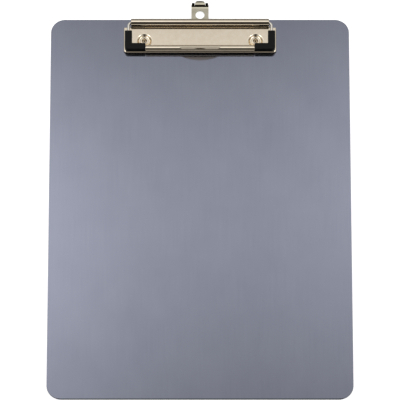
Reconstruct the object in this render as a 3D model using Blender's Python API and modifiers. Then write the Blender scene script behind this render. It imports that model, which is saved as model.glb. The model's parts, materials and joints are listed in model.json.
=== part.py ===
"""Clipboard: a sheet-metal board with a low wire-bail clip and a pull-out hanging tab.

Run it with blender --background --python part.py. Units are metres and +Z is up. The board
lies on its back: +X is to the right, +Y is towards the clip, and +Z is out of the writing
face. The origin is the centre of the board's back face.
"""

import math

import bmesh
import bpy
from mathutils import Matrix, Vector

MM = 0.001
GAP = 0.3 * MM  # clearance between pieces that touch on the real object
TINY = 0.001 * MM  # tolerance when places are compared
OVERSHOOT = 1.0 * MM  # how far a cutter runs past the face it cuts
TIP_SHARE = 0.94  # a round end's rows stop this far round it, so that the last keeps some width

# Board
BOARD_WIDTH = 228.6 * MM
BOARD_LENGTH = 317.5 * MM
BOARD_THICKNESS = 2.0 * MM
BOARD_CORNER_RADIUS = 11.0 * MM
BOARD_EDGE_BEVEL = 0.35 * MM
TOP_EDGE_Y = BOARD_LENGTH / 2

# Base plate: a shallow pan that stands on its rim, with its rear edge rolled into a barrel
PLATE_SHEET = 0.7 * MM
PLATE_HALF_WIDTH = 58.5 * MM
PLATE_TOP_Z = BOARD_THICKNESS + 2.2 * MM
PLATE_FRONT_Y = TOP_EDGE_Y - 28.9 * MM
PLATE_SHOULDER_Y = TOP_EDGE_Y - 7.9 * MM
PLATE_CORNER_RADIUS = 2.0 * MM
PLATE_RIM_RADIUS = 1.1 * MM
RIM_GAP = 0.9 * MM  # between the rim's foot and the board
BARREL_INNER_RADIUS = 2.3 * MM
BARREL_HALF_LENGTH = 52.9 * MM
BARREL_Y = TOP_EDGE_Y - 4.8 * MM
BARREL_Z = PLATE_TOP_Z + BARREL_INNER_RADIUS
BARREL_WRAP = math.radians(308)  # the rest of the turn is the open seam over the plate
DIMPLE_TOP_RADIUS = 5.7 * MM
DIMPLE_FLOOR_RADIUS = 4.3 * MM

# Rivets: semi-tubular, with the rolled end in front and a countersunk head flush behind
RIVET_X = 42.6 * MM
RIVET_Y = TOP_EDGE_Y - 19.3 * MM
RIVET_BORE_RADIUS = 1.6 * MM
RIVET_SHANK_RADIUS = 2.2 * MM
RIVET_FRONT_RADIUS = 3.4 * MM
RIVET_FRONT_LAND = 0.3 * MM  # straight part of the rolled end, under its round top
RIVET_FRONT_EASE = 0.15 * MM
RIVET_BORE_FLOOR = 1.0 * MM
RIVET_REAR_RADIUS = 3.6 * MM
RIVET_REAR_INSET = 0.05 * MM  # the head's face lies just inside the board's back
RIVET_REAR_LAND = 0.15 * MM

# Jaw: a spring-wire bail that turns in the barrel and carries the jaw bar and two grips
WIRE_RADIUS = 1.0 * MM
WIRE_BEND_RADIUS = 3.0 * MM
BAIL_HALF_WIDTH = 54.85 * MM
BAIL_REACH = 22.0 * MM  # from the barrel's axis to the jaw bar's axis
ARM_OFFSET = 1.05 * MM  # each torsion arm's distance from the barrel's axis
ARM_JOG_START = 50.0 * MM
ARM_JOG_END = 42.0 * MM
ARM_TIP = 38.0 * MM
JAW_SHEET = 0.6 * MM
JAW_INNER_RADIUS = 1.4 * MM
JAW_STRETCH = 1.36  # how much longer the oval roll is along the board than it is high
JAW_HALF_LENGTH = 41.5 * MM
JAW_FREE_END = math.radians(45)  # where the roll's free end stops short of its top
JAW_SEAM = math.radians(10)
THUMB_HALF_WIDTH = 15.0 * MM
THUMB_ROOT = 1.3 * MM  # how far the tab keeps its full width
THUMB_LENGTH = 5.2 * MM  # along the sheet, from the top of the roll to the tip
THUMB_FLAT = 0.2 * MM
THUMB_BEND_RADIUS = 2.0 * MM
THUMB_ANGLE = math.radians(62)
SLIT = 0.4 * MM  # relief slits beside a tongue that is bent out of its sheet
GRIP_WIDTH = 5.5 * MM
GRIP_SET_BACK = 1.0 * MM  # the front arm's middle lies this far behind the wire
GRIP_HEIGHT = 4.0 * MM
GRIP_REAR = 7.4 * MM  # from the barrel's axis to the grip's rear end
GRIP_CORNER_RADIUS = 3.0 * MM
GRIP_EDGE_RADIUS = 0.8 * MM

# Hanging tab: a flat T with a hole, an upturned lip and a half-moon nail catch
TAB_SHEET = 0.8 * MM
TAB_Z = BOARD_THICKNESS + GAP
TAB_HALF_WIDTH = 6.6 * MM
TAB_FOOT_HALF_WIDTH = 10.0 * MM
TAB_FOOT_LENGTH = 6.6 * MM
TAB_HOLE_RADIUS = 3.45 * MM
TAB_HOLE_Y = TOP_EDGE_Y + 3.8 * MM
TAB_BEND_Y = TOP_EDGE_Y + 9.3 * MM
TAB_BEND_RADIUS = 3.5 * MM
TAB_BEND_ANGLE = math.radians(32)
LIP_LENGTH = 2.3 * MM
CATCH_START = 0.2 * MM  # how far up the lip the nail catch leaves it
CATCH_HALF_WIDTH = 4.0 * MM
CATCH_SLIT = 0.15 * MM
CATCH_RADIUS = 3.5 * MM
CATCH_ANGLE = math.radians(82)
CATCH_FULLNESS = 0.65  # below 1, the tip is blunter than a half ellipse
EAR_TAPER = 0.5 * MM  # how far each side of the lip leans in at its end
GUIDE_RADIUS = 1.0 * MM
GUIDE_TIP_RADIUS = 0.8 * MM
GUIDE_X = TAB_HALF_WIDTH + GUIDE_RADIUS + GAP

X_AXIS = Vector((1, 0, 0))
QUARTER = math.pi / 2


# ---------------------------------------------------------------- general tools


def clear_scene():
    for obj in list(bpy.data.objects):
        bpy.data.objects.remove(obj, do_unlink=True)


def make_collection(name):
    collection = bpy.data.collections.new(name)
    bpy.context.scene.collection.children.link(collection)
    return collection


def make_material(name, colour, metallic, roughness):
    material = bpy.data.materials.new(name)
    material.use_nodes = True
    shader = material.node_tree.nodes["Principled BSDF"]
    shader.inputs["Base Color"].default_value = (*colour, 1.0)
    shader.inputs["Metallic"].default_value = metallic
    shader.inputs["Roughness"].default_value = roughness
    return material


def object_from_bmesh(name, bm, collection):
    mesh = bpy.data.meshes.new(name)
    bm.to_mesh(mesh)
    bm.free()
    obj = bpy.data.objects.new(name, mesh)
    collection.objects.link(obj)
    return obj


def finish_piece(obj, material, parent=None):
    obj.data.materials.clear()
    obj.data.materials.append(material)
    obj.data.shade_smooth()
    obj.data.set_sharp_from_angle(angle=math.radians(35))
    obj.parent = parent


def mesh_from_curve(obj, collection):
    """Replaces a curve object with a mesh of the same shape, its caps welded."""
    bpy.context.view_layer.update()
    graph = bpy.context.evaluated_depsgraph_get()
    mesh = bpy.data.meshes.new_from_object(obj.evaluated_get(graph))
    solid = bpy.data.objects.new(obj.name, mesh)
    solid.matrix_world = obj.matrix_world.copy()
    name = obj.name
    bpy.data.objects.remove(obj, do_unlink=True)
    solid.name = name
    collection.objects.link(solid)
    bm = bmesh.new()
    bm.from_mesh(mesh)
    bmesh.ops.remove_doubles(bm, verts=bm.verts, dist=TINY)
    bmesh.ops.recalc_face_normals(bm, faces=bm.faces)
    bm.to_mesh(mesh)
    bm.free()
    return solid


def wire_curve(name, points, radius, collection, resolution=3):
    data = bpy.data.curves.new(name, "CURVE")
    data.dimensions = "3D"
    data.bevel_depth = radius
    data.bevel_resolution = resolution
    data.use_fill_caps = True
    spline = data.splines.new("POLY")
    spline.points.add(len(points) - 1)
    for point, place in zip(spline.points, points):
        point.co = (*place, 1.0)
    obj = bpy.data.objects.new(name, data)
    collection.objects.link(obj)
    return obj


def flat_solid(name, outline, thickness, collection):
    """A flat piece from a 2D outline, centred on its own mid plane."""
    data = bpy.data.curves.new(name, "CURVE")
    data.dimensions = "2D"
    data.fill_mode = "BOTH"
    data.extrude = thickness / 2
    spline = data.splines.new("POLY")
    spline.points.add(len(outline) - 1)
    for point, place in zip(spline.points, outline):
        point.co = (place[0], place[1], 0.0, 1.0)
    spline.use_cyclic_u = True
    obj = bpy.data.objects.new(name, data)
    collection.objects.link(obj)
    solid = mesh_from_curve(obj, collection)
    bm = bmesh.new()
    bm.from_mesh(solid.data)
    bmesh.ops.dissolve_limit(bm, angle_limit=math.radians(1), verts=bm.verts, edges=bm.edges)
    bm.to_mesh(solid.data)
    bm.free()
    return solid


def arc(centre, radius, start, end, steps):
    """Points of a circular arc in the XY plane, both ends included."""
    points = []
    for step in range(steps + 1):
        angle = start + (end - start) * step / steps
        points.append(
            (centre[0] + radius * math.cos(angle), centre[1] + radius * math.sin(angle))
        )
    return points


def add_bevel(obj, width, segments):
    bevel = obj.modifiers.new("edges", "BEVEL")
    bevel.width = width
    bevel.segments = segments
    bevel.limit_method = "ANGLE"
    bevel.angle_limit = math.radians(50)


def add_thickness(obj, thickness):
    """Thickens a sheet on the side that its normals point away from."""
    solidify = obj.modifiers.new("thickness", "SOLIDIFY")
    solidify.thickness = thickness
    solidify.offset = -1.0
    solidify.use_even_offset = True


def add_boolean(obj, other, operation):
    boolean = obj.modifiers.new(f"{operation.lower()}_{other.name}", "BOOLEAN")
    boolean.object = other
    boolean.operation = operation
    boolean.solver = "EXACT"


def cone_tool(name, base_radius, top_radius, low_z, high_z, place, collection, segments=32):
    """A helper cone or cylinder from low_z to high_z, at the XY place."""
    bm = bmesh.new()
    bmesh.ops.create_cone(
        bm,
        cap_ends=True,
        segments=segments,
        radius1=base_radius,
        radius2=top_radius,
        depth=high_z - low_z,
        matrix=Matrix.Translation((place[0], place[1], (low_z + high_z) / 2)),
    )
    return as_tool(object_from_bmesh(name, bm, collection))


def as_tool(obj):
    obj.hide_render = True
    obj.display_type = "WIRE"
    return obj


def edge_chain(bm, points):
    verts = [bm.verts.new(point) for point in points]
    return [bm.edges.new(pair) for pair in zip(verts, verts[1:])]


def verts_of(edges):
    return list({vert for edge in edges for vert in edge.verts})


def extrude_edges(bm, edges, offset):
    """Extrudes a row of edges into a strip of sheet, and returns the new row."""
    made = bmesh.ops.extrude_edge_only(bm, edges=edges)["geom"]
    verts = {item for item in made if isinstance(item, bmesh.types.BMVert)}
    bmesh.ops.translate(bm, verts=list(verts), vec=offset)
    return [edge for edge in bm.edges if edge.verts[0] in verts and edge.verts[1] in verts]


def roll_edges(bm, edges, centre, angle, steps):
    """Rolls a row of edges about an axis along X, and returns the last row."""
    made = bmesh.ops.spin(
        bm, geom=verts_of(edges) + edges, cent=centre, axis=X_AXIS, angle=angle, steps=steps
    )["geom_last"]
    return [item for item in made if isinstance(item, bmesh.types.BMEdge)]


def edges_inside(edges, half_width):
    limit = half_width + TINY
    return [edge for edge in edges if all(abs(vert.co.x) < limit for vert in edge.verts)]


def face_upwards(bm, sample_y):
    """Turns a sheet's faces so that the flat stretch at sample_y faces +Z."""
    bmesh.ops.recalc_face_normals(bm, faces=bm.faces)
    flat = min(bm.faces, key=lambda face: abs(face.calc_center_median().y - sample_y))
    if flat.normal.z < 0:
        bmesh.ops.reverse_faces(bm, faces=bm.faces)


# ---------------------------------------------------------------- board


def make_board(material, parts, tools):
    half_width = BOARD_WIDTH / 2 - BOARD_CORNER_RADIUS
    half_length = BOARD_LENGTH / 2 - BOARD_CORNER_RADIUS
    outline = []
    for turn, (side_x, side_y) in enumerate(((1, 1), (-1, 1), (-1, -1), (1, -1))):
        centre = (side_x * half_width, side_y * half_length)
        outline += arc(centre, BOARD_CORNER_RADIUS, turn * QUARTER, (turn + 1) * QUARTER, 10)
    board = flat_solid("board", outline, BOARD_THICKNESS, parts)
    board.location.z = BOARD_THICKNESS / 2
    add_bevel(board, BOARD_EDGE_BEVEL, 2)
    for side, name in ((-1, "left"), (1, "right")):
        place = (side * RIVET_X, RIVET_Y)
        bore = RIVET_SHANK_RADIUS + GAP
        hole = cone_tool(
            f"board_hole_{name}",
            bore,
            bore,
            -OVERSHOOT,
            BOARD_THICKNESS + OVERSHOOT,
            place,
            tools,
        )
        add_boolean(board, hole, "DIFFERENCE")
        sink_radius = RIVET_REAR_RADIUS + RIVET_REAR_LAND + GAP * math.sqrt(2)
        sink = cone_tool(
            f"countersink_{name}",
            sink_radius + OVERSHOOT,
            bore - OVERSHOOT,
            -OVERSHOOT,
            sink_radius - bore + OVERSHOOT,
            place,
            tools,
        )
        add_boolean(board, sink, "DIFFERENCE")
    finish_piece(board, material)


# ---------------------------------------------------------------- base plate


def plate_sheet():
    """The plate's upper surface: pan, turned-down rim and rolled barrel, as one open sheet."""
    bm = bmesh.new()
    stations = (-PLATE_HALF_WIDTH, -BARREL_HALF_LENGTH, BARREL_HALF_LENGTH, PLATE_HALF_WIDTH)
    front = edge_chain(bm, [(x, PLATE_FRONT_Y, PLATE_TOP_Z) for x in stations])
    shoulder = extrude_edges(bm, front, (0, PLATE_SHOULDER_Y - PLATE_FRONT_Y, 0))
    sides = [
        edge
        for edge in bm.edges
        if all(abs(abs(vert.co.x) - PLATE_HALF_WIDTH) < TINY for vert in edge.verts)
    ]
    tongue = edges_inside(shoulder, BARREL_HALF_LENGTH)
    tongue = extrude_edges(bm, tongue, (0, BARREL_Y - PLATE_SHOULDER_Y, 0))
    roll_edges(bm, tongue, (0, BARREL_Y, BARREL_Z), BARREL_WRAP, 28)
    rim_depth = PLATE_TOP_Z - BOARD_THICKNESS - RIM_GAP
    extrude_edges(bm, front + sides, (0, 0, -rim_depth))
    corners = [
        edge
        for edge in bm.edges
        if edge.is_valid
        and abs(edge.verts[0].co.z - edge.verts[1].co.z) > rim_depth / 2
        and all(abs(abs(vert.co.x) - PLATE_HALF_WIDTH) < TINY for vert in edge.verts)
        and all(abs(vert.co.y - PLATE_FRONT_Y) < TINY for vert in edge.verts)
    ]
    bmesh.ops.bevel(
        bm, geom=corners, offset=PLATE_CORNER_RADIUS, segments=6, profile=0.5, affect="EDGES"
    )
    rim = [edge for edge in bm.edges if is_rim_edge(edge)]
    bmesh.ops.bevel(
        bm, geom=rim, offset=PLATE_RIM_RADIUS, segments=4, profile=0.5, affect="EDGES"
    )
    face_upwards(bm, (PLATE_FRONT_Y + PLATE_SHOULDER_Y) / 2)
    return bm


def is_rim_edge(edge):
    """True for an edge where the pan's flat top meets its turned-down rim."""
    if len(edge.link_faces) != 2:
        return False
    if any(abs(vert.co.z - PLATE_TOP_Z) > TINY for vert in edge.verts):
        return False
    slopes = sorted(abs(face.normal.z) for face in edge.link_faces)
    return slopes[0] < 0.1 and slopes[1] > 0.9


def make_base_plate(material, parts, tools):
    plate = object_from_bmesh("base_plate", plate_sheet(), parts)
    add_thickness(plate, PLATE_SHEET)
    sheet_middle = PLATE_TOP_Z - PLATE_SHEET / 2
    dimple_floor = BOARD_THICKNESS + GAP
    dimple_depth = PLATE_TOP_Z - dimple_floor - PLATE_SHEET
    flare = (DIMPLE_TOP_RADIUS - DIMPLE_FLOOR_RADIUS) / dimple_depth
    for side, name in ((-1, "left"), (1, "right")):
        place = (side * RIVET_X, RIVET_Y)
        dimple = cone_tool(
            f"dimple_{name}",
            DIMPLE_FLOOR_RADIUS + PLATE_SHEET,
            DIMPLE_TOP_RADIUS + PLATE_SHEET,
            dimple_floor,
            sheet_middle,
            place,
            tools,
        )
        add_boolean(plate, dimple, "UNION")
        press = cone_tool(
            f"dimple_press_{name}",
            DIMPLE_FLOOR_RADIUS,
            DIMPLE_TOP_RADIUS + flare * OVERSHOOT,
            dimple_floor + PLATE_SHEET,
            PLATE_TOP_Z + OVERSHOOT,
            place,
            tools,
        )
        add_boolean(plate, press, "DIFFERENCE")
        hole = cone_tool(
            f"plate_hole_{name}",
            RIVET_SHANK_RADIUS + GAP,
            RIVET_SHANK_RADIUS + GAP,
            0.0,
            PLATE_TOP_Z + OVERSHOOT,
            place,
            tools,
        )
        add_boolean(plate, hole, "DIFFERENCE")
        guide = cone_tool(
            f"tab_guide_{name}",
            GUIDE_TIP_RADIUS,
            GUIDE_RADIUS,
            dimple_floor,
            sheet_middle,
            (side * GUIDE_X, BARREL_Y),
            tools,
            segments=16,
        )
        add_boolean(plate, guide, "UNION")
    finish_piece(plate, material)


# ---------------------------------------------------------------- rivets


def rivet_profile():
    """Half section, from the bore's floor up, over the rolled end and down to the rear head."""
    roll_radius = (RIVET_FRONT_RADIUS - RIVET_BORE_RADIUS) / 2
    front_z = BOARD_THICKNESS + GAP + PLATE_SHEET + GAP
    roll_centre = (RIVET_BORE_RADIUS + roll_radius, front_z + RIVET_FRONT_LAND)
    head_z = RIVET_REAR_INSET + RIVET_REAR_LAND
    profile = [(0.0, RIVET_BORE_FLOOR), (RIVET_BORE_RADIUS, RIVET_BORE_FLOOR)]
    profile += arc(roll_centre, roll_radius, math.pi, 0.0, 10)
    profile += [
        (RIVET_FRONT_RADIUS, front_z + RIVET_FRONT_EASE),
        (RIVET_FRONT_RADIUS - RIVET_FRONT_EASE, front_z),
        (RIVET_SHANK_RADIUS, front_z),
        (RIVET_SHANK_RADIUS, head_z + RIVET_REAR_RADIUS - RIVET_SHANK_RADIUS),
        (RIVET_REAR_RADIUS, head_z),
        (RIVET_REAR_RADIUS, RIVET_REAR_INSET),
        (0.0, RIVET_REAR_INSET),
    ]
    return profile


def make_rivets(material, parts):
    for side, name in ((-1, "rivet_left"), (1, "rivet_right")):
        bm = bmesh.new()
        edge_chain(bm, [(radius, 0, height) for radius, height in rivet_profile()])
        rivet = object_from_bmesh(name, bm, parts)
        rivet.location = (side * RIVET_X, RIVET_Y, 0)
        turn = rivet.modifiers.new("turned", "SCREW")
        turn.axis = "Z"
        turn.steps = 28
        turn.render_steps = 28
        turn.use_merge_vertices = True
        turn.merge_threshold = TINY
        finish_piece(rivet, material)


# ---------------------------------------------------------------- jaw


def torsion_arm(side):
    """One arm inside the barrel, from its tip to the barrel's mouth on the given side."""
    points = [(-side * ARM_TIP, 0, side * ARM_OFFSET)]
    jog_steps = 8
    for step in range(jog_steps + 1):
        part = step / jog_steps
        along = ARM_JOG_END + (ARM_JOG_START - ARM_JOG_END) * part
        offset = ARM_OFFSET * (1 + math.cos(math.pi * part)) / 2
        points.append((side * along, 0, side * offset))
    return points


def bail_path():
    """The wire's centre line in the jaw's own frame, whose origin is on the barrel's axis."""
    bend = WIRE_BEND_RADIUS
    inner_x = BAIL_HALF_WIDTH - bend
    loop = arc((-inner_x, -bend), bend, QUARTER, math.pi, 8)
    loop += arc((-inner_x, bend - BAIL_REACH), bend, math.pi, 3 * QUARTER, 8)
    loop += [(-x, y) for x, y in reversed(loop)]
    path = torsion_arm(-1) + [(x, y, 0) for x, y in loop]
    return path + list(reversed(torsion_arm(1)))


def make_bail_wire(material, pivot, parts):
    wire = wire_curve("bail_wire", bail_path(), WIRE_RADIUS, parts)
    wire = mesh_from_curve(wire, parts)
    finish_piece(wire, material, pivot)


def thumb_tab_place(length):
    """Where the thumb tab's sheet is, that far along it: (forwards, upwards) of the roll's top."""
    turned = min(max(length - THUMB_FLAT, 0.0) / THUMB_BEND_RADIUS, THUMB_ANGLE)
    straight = max(length - THUMB_FLAT - THUMB_BEND_RADIUS * THUMB_ANGLE, 0.0)
    forwards = min(length, THUMB_FLAT) + THUMB_BEND_RADIUS * math.sin(turned)
    upwards = THUMB_BEND_RADIUS * (1 - math.cos(turned))
    return Vector(
        (
            forwards + straight * math.cos(THUMB_ANGLE),
            upwards + straight * math.sin(THUMB_ANGLE),
        )
    )


def thumb_tab_rows():
    """(length along the sheet, half width) down the thumb tab: a root strip, then a round end."""
    rows = [(THUMB_ROOT * step / 3, THUMB_HALF_WIDTH) for step in range(1, 4)]
    depth = THUMB_LENGTH - THUMB_ROOT
    outline_radius = (THUMB_HALF_WIDTH**2 + depth**2) / (2 * depth)
    root_angle = math.asin(THUMB_HALF_WIDTH / outline_radius)
    steps = 9
    for step in range(1, steps + 1):
        angle = root_angle * (1 - TIP_SHARE * step / steps)
        length = THUMB_LENGTH + outline_radius * (math.cos(angle) - 1)
        rows.append((length, outline_radius * math.sin(angle)))
    return rows


def jaw_sheet():
    """The jaw bar's inner surface: a roll about the wire, and the thumb tab bent out of it."""
    bm = bmesh.new()
    columns = 12
    stations = [-JAW_HALF_LENGTH, -THUMB_HALF_WIDTH - SLIT]
    for column in range(columns + 1):
        stations.append(THUMB_HALF_WIDTH * (2 * column / columns - 1))
    stations += [THUMB_HALF_WIDTH + SLIT, JAW_HALF_LENGTH]
    axis = (0, -BAIL_REACH, 0)
    top = edge_chain(bm, [(x, -BAIL_REACH, JAW_INNER_RADIUS) for x in stations])
    roll_edges(bm, top, axis, JAW_FREE_END - 2 * math.pi, 24)
    wings = [edge for edge in top if edge.calc_length() > JAW_HALF_LENGTH / 2]
    roll_edges(bm, wings, axis, JAW_FREE_END - JAW_SEAM, 4)
    for vert in bm.verts:
        vert.co.y = axis[1] + (vert.co.y - axis[1]) * JAW_STRETCH
    row = edges_inside(top, THUMB_HALF_WIDTH)
    before = thumb_tab_place(0.0)
    for length, half_width in thumb_tab_rows():
        here = thumb_tab_place(length)
        row = extrude_edges(bm, row, (0, before.x - here.x, here.y - before.y))
        before = here
        set_half_width(row, half_width)
    return bm


def set_half_width(edges, half_width):
    """Draws a row of sheet in towards the middle until it is this wide."""
    verts = verts_of(edges)
    widest = max(abs(vert.co.x) for vert in verts)
    for vert in verts:
        vert.co.x *= half_width / widest


def make_jaw_bar(material, pivot, parts):
    bm = jaw_sheet()
    bmesh.ops.recalc_face_normals(bm, faces=bm.faces)
    tab = min(bm.faces, key=lambda face: face.calc_center_median().y)
    if tab.normal.z > 0:
        bmesh.ops.reverse_faces(bm, faces=bm.faces)
    bar = object_from_bmesh("jaw_bar", bm, parts)
    add_thickness(bar, JAW_SHEET)
    finish_piece(bar, material, pivot)


def grip_outline(side):
    """The L of a corner grip seen from above, in the jaw's own frame."""
    half = GRIP_WIDTH / 2
    outer = BAIL_HALF_WIDTH + half
    inner = BAIL_HALF_WIDTH - half
    front = GRIP_SET_BACK - BAIL_REACH - half
    back = GRIP_SET_BACK - BAIL_REACH + half
    tip = JAW_HALF_LENGTH + GAP
    centre = (outer - GRIP_CORNER_RADIUS, front + GRIP_CORNER_RADIUS)
    outline = [(outer, -GRIP_REAR), (inner, -GRIP_REAR), (inner, back), (tip, back), (tip, front)]
    outline += arc(centre, GRIP_CORNER_RADIUS, -QUARTER, 0.0, 8)
    return [(side * x, y) for x, y in outline]


def make_corner_grips(material, pivot, parts, tools):
    for side, name in ((-1, "corner_grip_left"), (1, "corner_grip_right")):
        grip = flat_solid(name, grip_outline(side), GRIP_HEIGHT, parts)
        add_bevel(grip, GRIP_EDGE_RADIUS, 3)
        bore = wire_curve(f"{name}_bore", bail_path(), WIRE_RADIUS + GAP, tools)
        bore = as_tool(mesh_from_curve(bore, tools))
        bore.parent = pivot
        add_boolean(grip, bore, "DIFFERENCE")
        finish_piece(grip, material, pivot)


# ---------------------------------------------------------------- hanging tab


def tab_sheet():
    """The tab's upper surface in its own frame: foot, neck, bend, lip and nail catch."""
    bm = bmesh.new()
    slit = CATCH_HALF_WIDTH + CATCH_SLIT
    catch_columns = 6
    stations = [-TAB_FOOT_HALF_WIDTH, -TAB_HALF_WIDTH, -slit]
    for column in range(catch_columns + 1):
        stations.append(CATCH_HALF_WIDTH * (2 * column / catch_columns - 1))
    stations += [slit, TAB_HALF_WIDTH, TAB_FOOT_HALF_WIDTH]
    top = TAB_SHEET
    foot = edge_chain(bm, [(x, -TAB_FOOT_LENGTH, top) for x in stations])
    foot = extrude_edges(bm, foot, (0, TAB_FOOT_LENGTH, 0))
    neck = edges_inside(foot, TAB_HALF_WIDTH)
    neck = extrude_edges(bm, neck, (0, TAB_BEND_Y - tab_origin_y(), 0))
    bend_centre = (0, TAB_BEND_Y - tab_origin_y(), top + TAB_BEND_RADIUS)
    lip = roll_edges(bm, neck, bend_centre, TAB_BEND_ANGLE, 7)
    up = Vector((0, math.cos(TAB_BEND_ANGLE), math.sin(TAB_BEND_ANGLE)))
    lip = extrude_edges(bm, lip, up * CATCH_START)
    catch = edges_inside(lip, CATCH_HALF_WIDTH)
    ears = [edge for edge in lip if all(abs(vert.co.x) > slit - TINY for vert in edge.verts)]
    ears = extrude_edges(bm, ears, up * (LIP_LENGTH - CATCH_START))
    for vert in verts_of(ears):
        if abs(abs(vert.co.x) - TAB_HALF_WIDTH) < TINY:
            vert.co.x *= 1 - EAR_TAPER / TAB_HALF_WIDTH
    base = verts_of(catch)[0].co.copy()
    away = Vector((0, math.sin(TAB_BEND_ANGLE), -math.cos(TAB_BEND_ANGLE)))
    curl_centre = Vector((0, base.y, base.z)) + away * CATCH_RADIUS
    rows = 8
    before = 0.0
    for step in range(1, rows + 1):
        angle = QUARTER * TIP_SHARE * step / rows
        here = CATCH_ANGLE * math.sin(angle)
        catch = roll_edges(bm, catch, curl_centre, before - here, 1)
        before = here
        set_half_width(catch, CATCH_HALF_WIDTH * math.cos(angle) ** CATCH_FULLNESS)
    face_upwards(bm, (TAB_BEND_Y - tab_origin_y()) / 2)
    return bm


def tab_origin_y():
    """Where the tab's foot ends and its neck begins: just in front of the guides."""
    return BARREL_Y - GUIDE_RADIUS - GAP


def make_hanging_tab(material, parts, tools):
    slide = bpy.data.objects.new("tab_slide", None)
    slide.location = (0, tab_origin_y(), TAB_Z)
    parts.objects.link(slide)
    tab = object_from_bmesh("hanging_tab", tab_sheet(), parts)
    add_thickness(tab, TAB_SHEET)
    hole = cone_tool(
        "tab_hole",
        TAB_HOLE_RADIUS,
        TAB_HOLE_RADIUS,
        0.0,
        3 * BOARD_THICKNESS,
        (0, TAB_HOLE_Y),
        tools,
        segments=40,
    )
    add_boolean(tab, hole, "DIFFERENCE")
    finish_piece(tab, material, slide)


# ---------------------------------------------------------------- assembly


def main():
    clear_scene()
    parts = make_collection("clipboard")
    tools = make_collection("cutters")
    tools.hide_render = True
    anodised = make_material("anodised_aluminium", (0.25, 0.26, 0.33), 0.9, 0.45)
    nickel = make_material("nickel_plate", (0.72, 0.66, 0.58), 1.0, 0.18)
    wire_steel = make_material("wire_steel", (0.78, 0.76, 0.72), 1.0, 0.15)
    rubber = make_material("black_rubber", (0.02, 0.023, 0.025), 0.0, 0.6)
    pivot = bpy.data.objects.new("jaw_pivot", None)
    pivot.location = (0, BARREL_Y, BARREL_Z)
    parts.objects.link(pivot)
    make_board(anodised, parts, tools)
    make_base_plate(nickel, parts, tools)
    make_rivets(nickel, parts)
    make_bail_wire(wire_steel, pivot, parts)
    make_jaw_bar(nickel, pivot, parts)
    make_corner_grips(rubber, pivot, parts, tools)
    make_hanging_tab(nickel, parts, tools)


main()
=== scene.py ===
"""Looks of the clipboard: fine meshes, materials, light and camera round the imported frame.

Units are metres and +Z is up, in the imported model's frame. Every piece stands for one CAD node.
Places and outer sizes are read from that node, and the constants hold only what its box can't
say, such as bend radii and sheet thicknesses.
"""

import json
import math

import bmesh
import bpy
from mathutils import Matrix, Vector


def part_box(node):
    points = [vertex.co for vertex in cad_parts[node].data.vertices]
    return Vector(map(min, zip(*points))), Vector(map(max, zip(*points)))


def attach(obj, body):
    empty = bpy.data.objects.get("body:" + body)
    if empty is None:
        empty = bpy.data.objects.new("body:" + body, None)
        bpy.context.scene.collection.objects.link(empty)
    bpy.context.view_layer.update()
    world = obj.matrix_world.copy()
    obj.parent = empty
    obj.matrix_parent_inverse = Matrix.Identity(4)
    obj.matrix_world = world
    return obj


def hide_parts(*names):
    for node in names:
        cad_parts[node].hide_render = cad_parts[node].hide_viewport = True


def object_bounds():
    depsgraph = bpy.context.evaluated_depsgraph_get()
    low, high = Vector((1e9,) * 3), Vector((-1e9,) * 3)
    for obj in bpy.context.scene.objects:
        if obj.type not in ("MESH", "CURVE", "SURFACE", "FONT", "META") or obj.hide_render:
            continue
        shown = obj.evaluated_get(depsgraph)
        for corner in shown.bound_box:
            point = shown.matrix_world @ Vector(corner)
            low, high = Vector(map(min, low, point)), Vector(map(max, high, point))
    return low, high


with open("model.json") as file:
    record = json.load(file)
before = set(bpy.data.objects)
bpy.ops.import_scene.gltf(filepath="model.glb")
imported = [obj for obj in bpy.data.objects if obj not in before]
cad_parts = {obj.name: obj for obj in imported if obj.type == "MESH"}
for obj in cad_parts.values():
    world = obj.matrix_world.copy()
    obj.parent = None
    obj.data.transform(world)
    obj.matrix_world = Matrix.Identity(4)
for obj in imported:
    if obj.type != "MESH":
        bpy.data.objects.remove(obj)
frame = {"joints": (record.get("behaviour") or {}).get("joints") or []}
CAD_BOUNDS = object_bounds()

MM = 0.001
TINY = 0.001 * MM  # tolerance when places are compared
OVERSHOOT = 1.0 * MM  # how far a cutter runs past the face it cuts
SEAT_GAP = 0.05 * MM  # between a piece and what it rests on
QUARTER = math.pi / 2
X_AXIS = Vector((1, 0, 0))
TIP_SHARE = 0.97  # a round end's rows stop this far round it, so that the last keeps some width
SMOOTH_ANGLE = math.radians(35)  # a sharper edge keeps its crease in the shading
FLAT_ANGLE = math.radians(1)  # faces that meet at less than this count as one flat face
CUT_EDGE_ANGLE = 60  # degrees; a sheet's bends are gentler than this, and its cut edges sharper

# Places from the frame
BOARD_LOW, BOARD_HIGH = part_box("board")
PLATE_LOW, PLATE_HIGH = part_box("base_plate")
RIVET_LOW, RIVET_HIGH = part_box("rivet_right")
WIRE_LOW, WIRE_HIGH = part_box("bail_wire")
JAW_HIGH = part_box("jaw_bar")[1]
GRIP_LOW, GRIP_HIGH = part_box("corner_grip_right")
TAB_LOW, TAB_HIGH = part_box("hanging_tab")
BARREL_AXIS = Vector(next(j for j in frame["joints"] if j["name"] == "jaw_hinge")["pos_m"])
TOP_EDGE_Y = BOARD_HIGH.y
BOARD_TOP = BOARD_HIGH.z

# Board
BOARD_CORNER_RADIUS = 11.0 * MM
BOARD_CORNER_STEPS = 24
BOARD_EDGE_BEVEL = 0.35 * MM

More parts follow.
